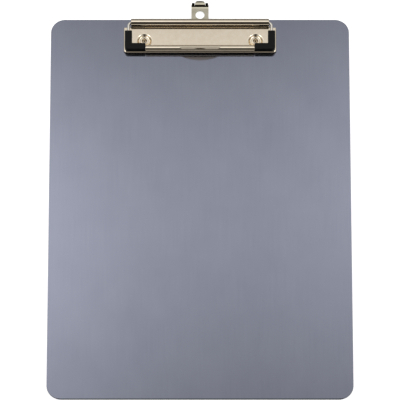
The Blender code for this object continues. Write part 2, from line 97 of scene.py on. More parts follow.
# Base plate
PLATE_SHEET = 0.7 * MM
PLATE_SHOULDER_Y = TOP_EDGE_Y - 7.9 * MM
PLATE_CORNER_RADIUS = 2.0 * MM
PLATE_RIM_RADIUS = 1.1 * MM
PLATE_EDGE_BEVEL = 0.12 * MM
RIM_GAP = 0.9 * MM  # between the rim's foot and the board
PLATE_TOP = BARREL_AXIS.z * 2 + PLATE_SHEET - PLATE_HIGH.z
BARREL_RADIUS = BARREL_AXIS.z - PLATE_TOP  # of the sheet's inner face
BARREL_HALF_LENGTH = 52.9 * MM
BARREL_WRAP = math.radians(308)  # the rest of the turn is the open seam over the plate
DIMPLE_OUTER_RADIUS = 6.1 * MM
DIMPLE_FLOOR_RADIUS = 3.9 * MM

# Rivets
RIVET_X = (RIVET_LOW.x + RIVET_HIGH.x) / 2
RIVET_Y = (RIVET_LOW.y + RIVET_HIGH.y) / 2
RIVET_BORE_RADIUS = 1.6 * MM
RIVET_SHANK_RADIUS = 2.2 * MM
RIVET_FRONT_RADIUS = 3.4 * MM
RIVET_BORE_FLOOR = 1.0 * MM
RIVET_EASE = 0.25 * MM  # rounding at the bore's floor and under the rolled end
RIVET_REAR_RADIUS = RIVET_HIGH.x - RIVET_X
RIVET_REAR_LAND = 0.15 * MM  # straight side of the rear head
RIVET_REAR_EASE = 0.05 * MM

# Jaw
WIRE_RADIUS = 1.0 * MM
WIRE_BEND_RADIUS = 3.0 * MM
BAIL_HALF_WIDTH = WIRE_HIGH.x - WIRE_RADIUS
BAIL_REACH = BARREL_AXIS.y - WIRE_LOW.y - WIRE_RADIUS
WIRE_BEND_STEPS = 16
ARM_OFFSET = 1.05 * MM  # each torsion arm's distance from the barrel's axis
ARM_JOG_START = 50.0 * MM
ARM_JOG_END = 42.0 * MM
ARM_TIP = 38.0 * MM
JAW_SHEET = 0.6 * MM
JAW_RADIUS = 1.4 * MM  # of the sheet's inner face
JAW_STRETCH = 1.36  # how much longer the oval roll is along the board than it is high
JAW_HALF_LENGTH = JAW_HIGH.x
JAW_FREE_END = math.radians(45)  # where the roll's free end stops short of its top
JAW_SEAM = math.radians(10)
JAW_EDGE_BEVEL = 0.1 * MM
THUMB_HALF_WIDTH = 15.0 * MM
THUMB_ROOT = 1.3 * MM  # how far the thumb tab keeps its full width
THUMB_LENGTH = 5.2 * MM  # along the sheet, from the top of the roll to the tip
THUMB_FLAT = 0.2 * MM
THUMB_BEND_RADIUS = 2.0 * MM
THUMB_ANGLE = math.radians(62)
THUMB_SLIT = 0.3 * MM
GRIP_WIDTH = 2 * (GRIP_HIGH.x - BAIL_HALF_WIDTH)
GRIP_TIP = GRIP_LOW.x
GRIP_CORNER_RADIUS = 3.0 * MM
GRIP_INSIDE_RADIUS = 0.6 * MM
GRIP_EDGE_RADIUS = 0.8 * MM

# Hanging tab
TAB_SHEET = 0.8 * MM
TAB_HALF_WIDTH = 6.6 * MM
TAB_FOOT_LENGTH = 6.6 * MM
TAB_FOOT_HALF_WIDTH = TAB_HIGH.x
TAB_FOOT_Y = TAB_LOW.y + TAB_FOOT_LENGTH
TAB_HOLE_RADIUS = 3.45 * MM
TAB_HOLE_Y = TOP_EDGE_Y + 3.8 * MM
TAB_BEND_Y = TOP_EDGE_Y + 9.3 * MM
TAB_BEND_RADIUS = 3.5 * MM
TAB_BEND_ANGLE = math.radians(32)
TAB_EDGE_BEVEL = 0.12 * MM
LIP_LENGTH = 2.3 * MM
CATCH_START = 0.2 * MM  # how far up the lip the nail catch leaves it
CATCH_HALF_WIDTH = 4.0 * MM
CATCH_SLIT = 0.15 * MM
CATCH_RADIUS = 3.5 * MM
CATCH_ANGLE = math.radians(82)
CATCH_FULLNESS = 0.65  # below 1, the tip is blunter than a half ellipse
EAR_TAPER = 0.5 * MM  # how far each side of the lip leans in at its end

# Linear colours. The first five are pairs, and the surface varies from one to the other.
ANODISED = (0.206, 0.219, 0.277), (0.238, 0.251, 0.311)
NICKEL = (0.82, 0.735, 0.60), (0.77, 0.68, 0.54)
WIRE_STEEL = (0.80, 0.77, 0.71), (0.74, 0.70, 0.63)
TAB_NICKEL = (0.62, 0.59, 0.48), (0.50, 0.47, 0.37)
BLACK_RUBBER = (0.004, 0.0042, 0.0045), (0.009, 0.009, 0.0085)
WHITE = (1.0, 1.0, 1.0, 1.0)
FLOOR_GREY = (0.86, 0.86, 0.86, 1.0)

# Floor
FLOOR_SIZE = 60.0
FLOOR_DROP = 0.02 * MM  # between the floor and the lowest piece
FLOOR_GLOW = 0.8

# Dome, as (degrees from the +Y horizon over the top to -Y, linear colour)
DOME_SHADE = (0.03, 0.022, 0.015)
DOME_EVEN = (0.40, 0.39, 0.38)
DOME_BLACK = (0.01, 0.007, 0.005)
DOME_FRONT = (0.65, 0.62, 0.58)
DOME = (
    (0, DOME_SHADE),
    (3, DOME_SHADE),
    (8, (0.36, 0.35, 0.34)),
    (24, DOME_EVEN),
    (38, (0.70, 0.68, 0.66)),
    (50, DOME_EVEN),
    (72, DOME_EVEN),
    (84, (0.82, 0.80, 0.78)),
    (94, (0.50, 0.48, 0.45)),
    (107, DOME_BLACK),
    (154, DOME_BLACK),
    (166, DOME_FRONT),
    (180, DOME_FRONT),
)
DOME_FILL = 0.5  # the least light at the sides, where the dark bands end
FILL_START = 0.12  # sideways part of the direction where the fill begins
FILL_END = 0.3  # and where it is complete

# Camera
CAMERA_ELEVATION = math.radians(64.36)
CAMERA_DISTANCE = 4.149
CAMERA_LENS = 494.0
CAMERA_SENSOR = 36.0
CAMERA_SHIFT = 0.01525
CAMERA_RANGE = (0.1, 100.0)


# ---------------------------------------------------------------- mesh tools


def link(obj):
    bpy.context.scene.collection.objects.link(obj)
    return obj


def object_from_bmesh(name, bm):
    mesh = bpy.data.meshes.new(name)
    bm.to_mesh(mesh)
    bm.free()
    return link(bpy.data.objects.new(name, mesh))


def mesh_from_curve(obj):
    """Replaces a curve object with a mesh of the same shape, its caps welded."""
    bpy.context.view_layer.update()
    graph = bpy.context.evaluated_depsgraph_get()
    mesh = bpy.data.meshes.new_from_object(obj.evaluated_get(graph))
    name = obj.name
    bpy.data.objects.remove(obj, do_unlink=True)
    bm = bmesh.new()
    bm.from_mesh(mesh)
    bmesh.ops.remove_doubles(bm, verts=bm.verts, dist=TINY)
    bmesh.ops.recalc_face_normals(bm, faces=bm.faces)
    bm.to_mesh(mesh)
    bm.free()
    return link(bpy.data.objects.new(name, mesh))


def wire_solid(name, points, radius):
    data = bpy.data.curves.new(name, "CURVE")
    data.dimensions = "3D"
    data.bevel_depth = radius
    data.bevel_resolution = 8
    data.use_fill_caps = True
    spline = data.splines.new("POLY")
    spline.points.add(len(points) - 1)
    for point, place in zip(spline.points, points):
        point.co = (*place, 1.0)
    return mesh_from_curve(link(bpy.data.objects.new(name, data)))


def flat_solid(name, outline, low_z, high_z):
    """A flat piece from a 2D outline."""
    data = bpy.data.curves.new(name, "CURVE")
    data.dimensions = "2D"
    data.fill_mode = "BOTH"
    data.extrude = (high_z - low_z) / 2
    spline = data.splines.new("POLY")
    spline.points.add(len(outline) - 1)
    for point, place in zip(spline.points, outline):
        point.co = (place[0], place[1], 0.0, 1.0)
    spline.use_cyclic_u = True
    solid = mesh_from_curve(link(bpy.data.objects.new(name, data)))
    bm = bmesh.new()
    bm.from_mesh(solid.data)
    bmesh.ops.dissolve_limit(bm, angle_limit=FLAT_ANGLE, verts=bm.verts, edges=bm.edges)
    bmesh.ops.translate(bm, verts=bm.verts, vec=(0, 0, (low_z + high_z) / 2))
    bm.to_mesh(solid.data)
    bm.free()
    return solid


def turned_solid(name, profile, place, steps=72):
    """A piece turned from a half section of (radius, height) about a vertical axis."""
    bm = bmesh.new()
    edge_chain(bm, [(radius, 0, height) for radius, height in profile])
    obj = object_from_bmesh(name, bm)
    obj.location = (place[0], place[1], 0)
    turn = obj.modifiers.new("turned", "SCREW")
    turn.axis = "Z"
    turn.steps = steps
    turn.render_steps = steps
    turn.use_merge_vertices = True
    turn.merge_threshold = TINY
    return obj


def arc(centre, radius, start, end, steps):
    """Points of a circular arc in a plane, both ends included."""
    angles = [start + (end - start) * step / steps for step in range(steps + 1)]
    return [(centre[0] + radius * math.cos(a), centre[1] + radius * math.sin(a)) for a in angles]


def edge_chain(bm, points, closed=False):
    verts = [bm.verts.new(point) for point in points]
    edges = [bm.edges.new(pair) for pair in zip(verts, verts[1:])]
    if closed:
        edges.append(bm.edges.new((verts[-1], verts[0])))
    return edges


def skin_rows(bm, rows, closed=False):
    """Joins rows of points into a strip of sheet, and closes each row into a ring if asked."""
    made = [[bm.verts.new(point) for point in row] for row in rows]
    for low, high in zip(made, made[1:]):
        pairs = list(zip(low, high))
        if closed:
            pairs.append(pairs[0])
        for (a, b), (d, c) in zip(pairs, pairs[1:]):
            bm.faces.new((a, b, c, d))


def verts_of(edges):
    return list({vert for edge in edges for vert in edge.verts})


def extrude_edges(bm, edges, offset):
    """Extrudes a row of edges into a strip of sheet, and returns the new row."""
    made = bmesh.ops.extrude_edge_only(bm, edges=edges)["geom"]
    verts = {item for item in made if isinstance(item, bmesh.types.BMVert)}
    bmesh.ops.translate(bm, verts=list(verts), vec=offset)
    return [edge for edge in bm.edges if edge.verts[0] in verts and edge.verts[1] in verts]


def roll_edges(bm, edges, centre, angle, steps):
    """Rolls a row of edges about an axis along X, and returns the last row."""
    made = bmesh.ops.spin(
        bm, geom=verts_of(edges) + edges, cent=centre, axis=X_AXIS, angle=angle, steps=steps
    )["geom_last"]
    return [item for item in made if isinstance(item, bmesh.types.BMEdge)]


def edges_inside(edges, half_width):
    limit = half_width + TINY
    return [edge for edge in edges if all(abs(vert.co.x) < limit for vert in edge.verts)]


def set_half_width(edges, half_width):
    """Draws a row of sheet in towards the middle until it is this wide."""
    verts = verts_of(edges)
    widest = max(abs(vert.co.x) for vert in verts)
    for vert in verts:
        vert.co.x *= half_width / widest


def add_thickness(obj, thickness):
    """Thickens a sheet on the side that its normals point away from."""
    solidify = obj.modifiers.new("thickness", "SOLIDIFY")
    solidify.thickness = thickness
    solidify.offset = -1.0
    solidify.use_even_offset = True


def add_bevel(obj, width, segments, angle=50):
    bevel = obj.modifiers.new("edges", "BEVEL")
    bevel.width = width
    bevel.segments = segments
    bevel.limit_method = "ANGLE"
    bevel.angle_limit = math.radians(angle)
    bevel.use_clamp_overlap = True


def cut(obj, tool):
    """Cuts the tool out of the piece for good, and removes the tool."""
    boolean = obj.modifiers.new("cut", "BOOLEAN")
    boolean.object = tool
    boolean.operation = "DIFFERENCE"
    boolean.solver = "EXACT"
    bpy.context.view_layer.update()
    graph = bpy.context.evaluated_depsgraph_get()
    mesh = bpy.data.meshes.new_from_object(obj.evaluated_get(graph))
    obj.modifiers.clear()
    obj.data = mesh
    bpy.data.objects.remove(tool, do_unlink=True)


def cone_tool(base_radius, top_radius, low_z, high_z, place, segments=64):
    bm = bmesh.new()
    bmesh.ops.create_cone(
        bm,
        cap_ends=True,
        segments=segments,
        radius1=base_radius,
        radius2=top_radius,
        depth=high_z - low_z,
        matrix=Matrix.Translation((place[0], place[1], (low_z + high_z) / 2)),
    )
    return object_from_bmesh("tool", bm)


def finish_piece(obj, node, body, material):
    """Gives the piece its finish, puts it on its body and lets it stand for its CAD node."""
    obj.data.materials.clear()
    obj.data.materials.append(material)
    obj.data.shade_smooth()
    obj.data.set_sharp_from_angle(angle=SMOOTH_ANGLE)
    even = obj.modifiers.new("even_shading", "WEIGHTED_NORMAL")
    even.keep_sharp = True
    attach(obj, body)
    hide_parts(node)


# ---------------------------------------------------------------- board


def make_board(material):
    half_width = BOARD_HIGH.x - BOARD_CORNER_RADIUS
    half_length = BOARD_HIGH.y - BOARD_CORNER_RADIUS
    outline = []
    for turn, (side_x, side_y) in enumerate(((1, 1), (-1, 1), (-1, -1), (1, -1))):
        centre = (side_x * half_width, side_y * half_length)
        start = turn * QUARTER
        outline += arc(centre, BOARD_CORNER_RADIUS, start, start + QUARTER, BOARD_CORNER_STEPS)
    board = flat_solid("board_fine", outline, BOARD_LOW.z, BOARD_HIGH.z)
    bore = RIVET_SHANK_RADIUS + SEAT_GAP
    head = RIVET_REAR_RADIUS + SEAT_GAP
    low_z = BOARD_LOW.z - OVERSHOOT
    sink_z = low_z + head - bore + 2 * OVERSHOOT
    for side in (-1, 1):
        place = (side * RIVET_X, RIVET_Y)
        cut(board, cone_tool(bore, bore, low_z, BOARD_HIGH.z + OVERSHOOT, place))
        cut(board, cone_tool(head + OVERSHOOT, bore - OVERSHOOT, low_z, sink_z, place))
    add_bevel(board, BOARD_EDGE_BEVEL, 4)
    finish_piece(board, "board", "root", material)


# ---------------------------------------------------------------- base plate


def pan_outline():
    """The flat top's edge from the left shoulder round the front, as (point, outward direction)."""
    radius = PLATE_CORNER_RADIUS - PLATE_RIM_RADIUS
    half = PLATE_HIGH.x - PLATE_CORNER_RADIUS
    front = PLATE_LOW.y + PLATE_CORNER_RADIUS
    left = Vector((-1, 0, 0))
    outline = [(Vector((-half - radius, PLATE_SHOULDER_Y, PLATE_TOP)), left)]
    steps = 10
    for side, start in ((-1, math.pi), (1, 3 * QUARTER)):
        for step in range(steps + 1):
            angle = start + QUARTER * step / steps
            outward = Vector((math.cos(angle), math.sin(angle), 0))
            outline.append((Vector((side * half, front, PLATE_TOP)) + outward * radius, outward))
    outline.append((Vector((half + radius, PLATE_SHOULDER_Y, PLATE_TOP)), -left))
    return outline


def add_pan_rim(bm, outline):
    """The rim turned down round the front and both sides."""
    rows = []
    steps = 8
    for step in range(steps + 1):
        angle = QUARTER * step / steps
        out = PLATE_RIM_RADIUS * math.sin(angle)
        down = PLATE_RIM_RADIUS * (1 - math.cos(angle))
        rows.append([point + outward * out - Vector((0, 0, down)) for point, outward in outline])
    foot_z = BOARD_TOP + RIM_GAP
    rows.append([(place.x, place.y, foot_z) for place in rows[-1]])
    skin_rows(bm, rows)


def add_dimple(bm, place):
    """A pressed dimple with a soft lip, from the flat top down to a floor with the rivet's hole."""
    segments = 64
    floor_z = BOARD_TOP + SEAT_GAP + PLATE_SHEET
    slope_steps = 12
    sections = []
    for step in range(slope_steps + 1):
        part = step / slope_steps
        radius = DIMPLE_OUTER_RADIUS + (DIMPLE_FLOOR_RADIUS - DIMPLE_OUTER_RADIUS) * part
        height = floor_z + (PLATE_TOP - floor_z) * (1 + math.cos(math.pi * part)) / 2
        sections.append((radius, height))
    sections.append((RIVET_SHANK_RADIUS + SEAT_GAP, floor_z))
    rows = [ring(place, radius, height, segments) for radius, height in sections]
    skin_rows(bm, rows, closed=True)
    return edge_chain(bm, rows[0], closed=True)


def ring(place, radius, height, segments):
    angles = [2 * math.pi * step / segments for step in range(segments)]
    return [
        (place[0] + radius * math.cos(a), place[1] + radius * math.sin(a), height) for a in angles
    ]


def add_barrel(bm):
    """The rear edge rolled up and over into the barrel."""
    rows = []
    steps = 88
    for step in range(steps + 1):
        angle = -QUARTER + BARREL_WRAP * step / steps
        y = BARREL_AXIS.y + BARREL_RADIUS * math.cos(angle)
        z = BARREL_AXIS.z + BARREL_RADIUS * math.sin(angle)
        rows.append([(-BARREL_HALF_LENGTH, y, z), (BARREL_HALF_LENGTH, y, z)])
    skin_rows(bm, rows)


def make_base_plate(material):
    bm = bmesh.new()
    outline = pan_outline()
    barrel = BARREL_HALF_LENGTH
    tongue = [
        (barrel, PLATE_SHOULDER_Y, PLATE_TOP),
        (barrel, BARREL_AXIS.y, PLATE_TOP),
        (-barrel, BARREL_AXIS.y, PLATE_TOP),
        (-barrel, PLATE_SHOULDER_Y, PLATE_TOP),
    ]
    edges = edge_chain(bm, [point for point, _ in outline] + tongue, closed=True)
    for side in (-1, 1):
        edges += add_dimple(bm, (side * RIVET_X, RIVET_Y))
    bmesh.ops.triangle_fill(bm, edges=edges, use_beauty=True, normal=(0, 0, 1))
    add_pan_rim(bm, outline)
    add_barrel(bm)
    bmesh.ops.remove_doubles(bm, verts=bm.verts, dist=TINY)
    bmesh.ops.recalc_face_normals(bm, faces=bm.faces)
    flat = max(bm.faces, key=lambda face: face.calc_area() * (abs(face.normal.z) > 0.99))
    if flat.normal.z < 0:
        bmesh.ops.reverse_faces(bm, faces=bm.faces)
    plate = object_from_bmesh("base_plate_fine", bm)
    add_thickness(plate, PLATE_SHEET)
    add_bevel(plate, PLATE_EDGE_BEVEL, 2, CUT_EDGE_ANGLE)
    finish_piece(plate, "base_plate", "root", material)


# ---------------------------------------------------------------- rivets


def rivet_profile():
    """Half section, from the bore's floor up, over the rolled end and down to the rear head."""
    roll_radius = (RIVET_FRONT_RADIUS - RIVET_BORE_RADIUS) / 2
    front_z = BOARD_TOP + 2 * SEAT_GAP + PLATE_SHEET
    roll_z = RIVET_HIGH.z - roll_radius
    head_z = RIVET_LOW.z + RIVET_REAR_LAND
    ease = RIVET_EASE
    profile = [(0.0, RIVET_BORE_FLOOR), (RIVET_BORE_RADIUS - ease, RIVET_BORE_FLOOR)]
    profile += arc(
        (RIVET_BORE_RADIUS - ease, RIVET_BORE_FLOOR + ease), ease, -QUARTER, 0.0, 4
    )
    profile += arc((RIVET_BORE_RADIUS + roll_radius, roll_z), roll_radius, math.pi, 0.0, 20)
    profile += arc((RIVET_FRONT_RADIUS - ease, front_z + ease), ease, 0.0, -QUARTER, 4)
    profile += [
        (RIVET_SHANK_RADIUS, front_z),
        (RIVET_SHANK_RADIUS, head_z + RIVET_REAR_RADIUS - RIVET_SHANK_RADIUS),
        (RIVET_REAR_RADIUS, head_z),
        (RIVET_REAR_RADIUS, RIVET_LOW.z + RIVET_REAR_EASE),
        (RIVET_REAR_RADIUS - RIVET_REAR_EASE, RIVET_LOW.z),
        (0.0, RIVET_LOW.z),
    ]
    return profile


def make_rivets(material):
    for side, node in ((-1, "rivet_left"), (1, "rivet_right")):
        rivet = turned_solid(f"{node}_fine", rivet_profile(), (side * RIVET_X, RIVET_Y))
        finish_piece(rivet, node, "root", material)


# ---------------------------------------------------------------- jaw


def torsion_arm(side):
    """One arm inside the barrel, from its tip to the barrel's mouth on the given side."""
    points = [(-side * ARM_TIP, 0, side * ARM_OFFSET)]
    steps = 12
    for step in range(steps + 1):
        part = step / steps
        along = ARM_JOG_END + (ARM_JOG_START - ARM_JOG_END) * part
        points.append((side * along, 0, side * ARM_OFFSET * (1 + math.cos(math.pi * part)) / 2))
    return points


def bail_path():
    """The wire's centre line."""
    bend = WIRE_BEND_RADIUS
    inner_x = BAIL_HALF_WIDTH - bend
    steps = WIRE_BEND_STEPS
    loop = arc((-inner_x, -bend), bend, QUARTER, math.pi, steps)
    loop += arc((-inner_x, bend - BAIL_REACH), bend, math.pi, 3 * QUARTER, steps)
    loop += [(-x, y) for x, y in reversed(loop)]
    path = torsion_arm(-1) + [(x, y, 0) for x, y in loop] + list(reversed(torsion_arm(1)))
    return [BARREL_AXIS + Vector(point) for point in path]


def make_bail_wire(material):
    wire = wire_solid("bail_wire_fine", bail_path(), WIRE_RADIUS)
    finish_piece(wire, "bail_wire", "jaw", material)


def thumb_tab_place(length):
    """Where the thumb tab's sheet is, that far along it: (forwards, upwards) of the roll's top."""
    turned = min(max(length - THUMB_FLAT, 0.0) / THUMB_BEND_RADIUS, THUMB_ANGLE)
    straight = max(length - THUMB_FLAT - THUMB_BEND_RADIUS * THUMB_ANGLE, 0.0)
    forwards = min(length, THUMB_FLAT) + THUMB_BEND_RADIUS * math.sin(turned)
    upwards = THUMB_BEND_RADIUS * (1 - math.cos(turned))
    return Vector(
        (
            forwards + straight * math.cos(THUMB_ANGLE),
            upwards + straight * math.sin(THUMB_ANGLE),
        )
    )


def thumb_tab_rows():
    """(length along the sheet, half width) down the thumb tab: a root strip, then a round end."""
    root_steps = 6
    rows = [(THUMB_ROOT * (n + 1) / root_steps, THUMB_HALF_WIDTH) for n in range(root_steps)]
    depth = THUMB_LENGTH - THUMB_ROOT
    outline_radius = (THUMB_HALF_WIDTH**2 + depth**2) / (2 * depth)
    root_angle = math.asin(THUMB_HALF_WIDTH / outline_radius)
    steps = 20
    for step in range(1, steps + 1):
        angle = root_angle * (1 - TIP_SHARE * step / steps)
        length = THUMB_LENGTH + outline_radius * (math.cos(angle) - 1)
        rows.append((length, outline_radius * math.sin(angle)))
    return rows


def make_jaw_bar(material):
    """A roll about the wire, and the thumb tab bent out of it. The sheet is its inner face."""
    bm = bmesh.new()
    columns = 24
    stations = [-JAW_HALF_LENGTH, -THUMB_HALF_WIDTH - THUMB_SLIT]
    stations += [THUMB_HALF_WIDTH * (2 * n / columns - 1) for n in range(columns + 1)]
    stations += [THUMB_HALF_WIDTH + THUMB_SLIT, JAW_HALF_LENGTH]
    axis = BARREL_AXIS - Vector((0, BAIL_REACH, 0))
    top = edge_chain(bm, [(x, axis.y, axis.z + JAW_RADIUS) for x in stations])
    roll_edges(bm, top, axis, JAW_FREE_END - 2 * math.pi, 56)
    wings = [edge for edge in top if edge.calc_length() > JAW_HALF_LENGTH / 2]
    roll_edges(bm, wings, axis, JAW_FREE_END - JAW_SEAM, 8)
    for vert in bm.verts:
        vert.co.y = axis.y + (vert.co.y - axis.y) * JAW_STRETCH
    row = edges_inside(top, THUMB_HALF_WIDTH)
    before = thumb_tab_place(0.0)
    for length, half_width in thumb_tab_rows():
        here = thumb_tab_place(length)
        row = extrude_edges(bm, row, (0, before.x - here.x, here.y - before.y))
        before = here
        set_half_width(row, half_width)
    bmesh.ops.recalc_face_normals(bm, faces=bm.faces)
    tip = min(bm.faces, key=lambda face: face.calc_center_median().y)
    if tip.normal.z > 0:
        bmesh.ops.reverse_faces(bm, faces=bm.faces)
    bar = object_from_bmesh("jaw_bar_fine", bm)
    add_thickness(bar, JAW_SHEET)
    add_bevel(bar, JAW_EDGE_BEVEL, 2, CUT_EDGE_ANGLE)
    finish_piece(bar, "jaw_bar", "jaw", material)


def grip_outline(side):
    """The L of a corner grip seen from above."""
    outer = GRIP_HIGH.x
    inner = outer - GRIP_WIDTH
    front = GRIP_LOW.y
    back = front + GRIP_WIDTH
    rear = GRIP_HIGH.y
    inside = GRIP_INSIDE_RADIUS
    centre = (outer - GRIP_CORNER_RADIUS, front + GRIP_CORNER_RADIUS)
    outline = [(outer, rear), (inner, rear)]
    outline += arc((inner - inside, back + inside), inside, 0, -QUARTER, 5)
    outline += [(GRIP_TIP, back), (GRIP_TIP, front)]
    outline += arc(centre, GRIP_CORNER_RADIUS, -QUARTER, 0.0, 16)
    return [(side * x, y) for x, y in outline]


def make_corner_grips(material):
    for side, node in ((-1, "corner_grip_left"), (1, "corner_grip_right")):
        grip = flat_solid(f"{node}_fine", grip_outline(side), GRIP_LOW.z, GRIP_HIGH.z)
        add_bevel(grip, GRIP_EDGE_RADIUS, 5)
        cut(grip, wire_solid("tool", bail_path(), WIRE_RADIUS + SEAT_GAP))
        finish_piece(grip, node, "jaw", material)


# ---------------------------------------------------------------- hanging tab


def make_hanging_tab(material):
    """Foot, neck with the hole, bend, lip and nail catch. The sheet is its upper face."""
    bm = bmesh.new()
    slit = CATCH_HALF_WIDTH + CATCH_SLIT
    columns = 16
    stations = [-TAB_FOOT_HALF_WIDTH, -TAB_HALF_WIDTH, -slit]
    stations += [CATCH_HALF_WIDTH * (2 * n / columns - 1) for n in range(columns + 1)]
    stations += [slit, TAB_HALF_WIDTH, TAB_FOOT_HALF_WIDTH]
    top = TAB_LOW.z + TAB_SHEET
    foot = edge_chain(bm, [(x, TAB_LOW.y, top) for x in stations])
    foot = extrude_edges(bm, foot, (0, TAB_FOOT_LENGTH, 0))
    neck = edges_inside(foot, TAB_HALF_WIDTH)
    neck = extrude_edges(bm, neck, (0, TAB_BEND_Y - TAB_FOOT_Y, 0))
    lip = roll_edges(bm, neck, (0, TAB_BEND_Y, top + TAB_BEND_RADIUS), TAB_BEND_ANGLE, 16)
    up = Vector((0, math.cos(TAB_BEND_ANGLE), math.sin(TAB_BEND_ANGLE)))
    lip = extrude_edges(bm, lip, up * CATCH_START)
    catch = edges_inside(lip, CATCH_HALF_WIDTH)
    ears = [edge for edge in lip if all(abs(vert.co.x) > slit - TINY for vert in edge.verts)]
    ears = extrude_edges(bm, ears, up * (LIP_LENGTH - CATCH_START))
    for vert in verts_of(ears):
        if abs(abs(vert.co.x) - TAB_HALF_WIDTH) < TINY:
            vert.co.x *= 1 - EAR_TAPER / TAB_HALF_WIDTH
    base = verts_of(catch)[0].co.copy()
    away = Vector((0, math.sin(TAB_BEND_ANGLE), -math.cos(TAB_BEND_ANGLE)))
    curl_centre = Vector((0, base.y, base.z)) + away * CATCH_RADIUS
    rows = 16
    before = 0.0
    for step in range(1, rows + 1):
        angle = QUARTER * TIP_SHARE * step / rows
        here = CATCH_ANGLE * math.sin(angle)
        catch = roll_edges(bm, catch, curl_centre, before - here, 1)
        before = here
        set_half_width(catch, CATCH_HALF_WIDTH * math.cos(angle) ** CATCH_FULLNESS)
    bmesh.ops.recalc_face_normals(bm, faces=bm.faces)
    flat = min(bm.faces, key=lambda face: face.calc_center_median().y)
    if flat.normal.z < 0:
        bmesh.ops.reverse_faces(bm, faces=bm.faces)
    tab = object_from_bmesh("hanging_tab_fine", bm)
    add_thickness(tab, TAB_SHEET)
    hole = TAB_HOLE_RADIUS
    cut(tab, cone_tool(hole, hole, top - 2 * OVERSHOOT, top + OVERSHOOT, (0, TAB_HOLE_Y)))
    add_bevel(tab, TAB_EDGE_BEVEL, 2, CUT_EDGE_ANGLE)
    finish_piece(tab, "hanging_tab", "tab", material)


# ---------------------------------------------------------------- materials


def add_node(tree, kind, inputs, **settings):
    """A shader node whose inputs are values, or sockets to link."""
    node = tree.nodes.new(kind)
    for name, value in settings.items():
        setattr(node, name, value)
    for name, value in inputs.items():
        if isinstance(value, bpy.types.NodeSocket):
            tree.links.new(value, node.inputs[name])
        else:
            node.inputs[name].default_value = value
    return node


def new_material(name, metallic, **sockets):
    """A material with its Principled shader, whose even values are set on the shader itself."""
    material = bpy.data.materials.new(name)
    material.use_nodes = True
    shader = material.node_tree.nodes["Principled BSDF"]
    shader.inputs["Metallic"].default_value = metallic
    for socket, value in sockets.items():
        shader.inputs[socket.replace("_", " ")].default_value = value
    return material, material.node_tree, shader


def pattern(tree, stretch, detail=3.0, roughness=0.55, offset=0.0):
    """Noise with this many features a metre along each axis, from 0 to 1 about a mean of 0.5."""
    coords = add_node(tree, "ShaderNodeTexCoord", {})
    mapping = add_node(
        tree,
        "ShaderNodeMapping",
        {"Vector": coords.outputs["Object"], "Location": (offset,) * 3, "Scale": stretch},
    )
    noise = add_node(
        tree,
        "ShaderNodeTexNoise",
        {
            "Vector": mapping.outputs["Vector"],
            "Scale": 1.0,
            "Detail": detail,
            "Roughness": roughness,
        },
    )
    return noise.outputs["Fac"]


def spread(tree, value, low, high, start=0.3, end=0.7):
    """Maps a pattern's range onto the range from low to high."""
    mapped = add_node(
        tree,
        "ShaderNodeMapRange",
        {"Value": value, "From Min": start, "From Max": end, "To Min": low, "To Max": high},
    )
    return mapped.outputs["Result"]


def add_up(tree, *values):
    total = values[0]
    for value in values[1:]:
        total = add_node(tree, "ShaderNodeMath", {0: total, 1: value}, operation="ADD").outputs[0]
    return total


def mix_colours(tree, factor):
    """A colour mix's two colour inputs and its colour output."""
    mix = add_node(tree, "ShaderNodeMix", {"Factor": factor}, data_type="RGBA")
    first, second = (socket for socket in mix.inputs if socket.type == "RGBA")
    return first, second, next(socket for socket in mix.outputs if socket.type == "RGBA")


def two_colours(tree, factor, colours):
    """A colour that goes from the first to the second as the factor goes from 0 to 1."""
    *ends, result = mix_colours(tree, factor)
    for socket, colour in zip(ends, colours):
        socket.default_value = (*colour, 1.0)
    return result


def bump(tree, height, depth, strength=1.0):
    node = add_node(
        tree, "ShaderNodeBump", {"Height": height, "Distance": depth, "Strength": strength}
    )
    return node.outputs["Normal"]


def anodised_material():
    """Satin blue-grey anodising over aluminium with a fine grain along the board."""
    material, tree, shader = new_material("anodised_aluminium", 1.0)
    grain = pattern(tree, (1400.0, 22.0, 22.0), detail=4.0, roughness=0.7)
    fine_grain = pattern(tree, (4200.0, 160.0, 160.0), detail=2.0, offset=3.0)
    mottle = pattern(tree, (34.0, 26.0, 30.0), detail=5.0, roughness=0.6, offset=7.0)
    shade = add_up(tree, spread(tree, grain, 0.0, 0.5), spread(tree, mottle, 0.0, 0.5))
    tree.links.new(two_colours(tree, shade, ANODISED), shader.inputs["Base Color"])
    rough = add_up(tree, spread(tree, grain, 0.115, 0.145), spread(tree, mottle, 0.0, 0.01))
    tree.links.new(rough, shader.inputs["Roughness"])
    relief = add_up(tree, grain, fine_grain)
    tree.links.new(bump(tree, relief, 0.004 * MM, 0.6), shader.inputs["Normal"])
    return material


def plated_material(name, colours, roughness):
    """Bright plate with faint ripples, a soft bloom and hairline scratches."""
    material, tree, shader = new_material(name, 1.0)
    bloom = pattern(tree, (240.0, 240.0, 240.0), detail=4.0, offset=2.0)
    ripple = pattern(tree, (420.0, 420.0, 420.0), detail=2.0, offset=5.0)
    scratches = pattern(tree, (260.0, 5200.0, 2600.0), detail=1.0, offset=9.0)
    tone = two_colours(tree, spread(tree, bloom, 0.0, 1.0), colours)
    tree.links.new(tone, shader.inputs["Base Color"])
    rough = add_up(
        tree,
        spread(tree, bloom, roughness * 0.85, roughness * 1.2),
        spread(tree, scratches, 0.0, roughness * 0.5, start=0.6, end=0.8),
    )
    tree.links.new(rough, shader.inputs["Roughness"])
    tree.links.new(bump(tree, ripple, 0.0006 * MM, 0.5), shader.inputs["Normal"])
    return material


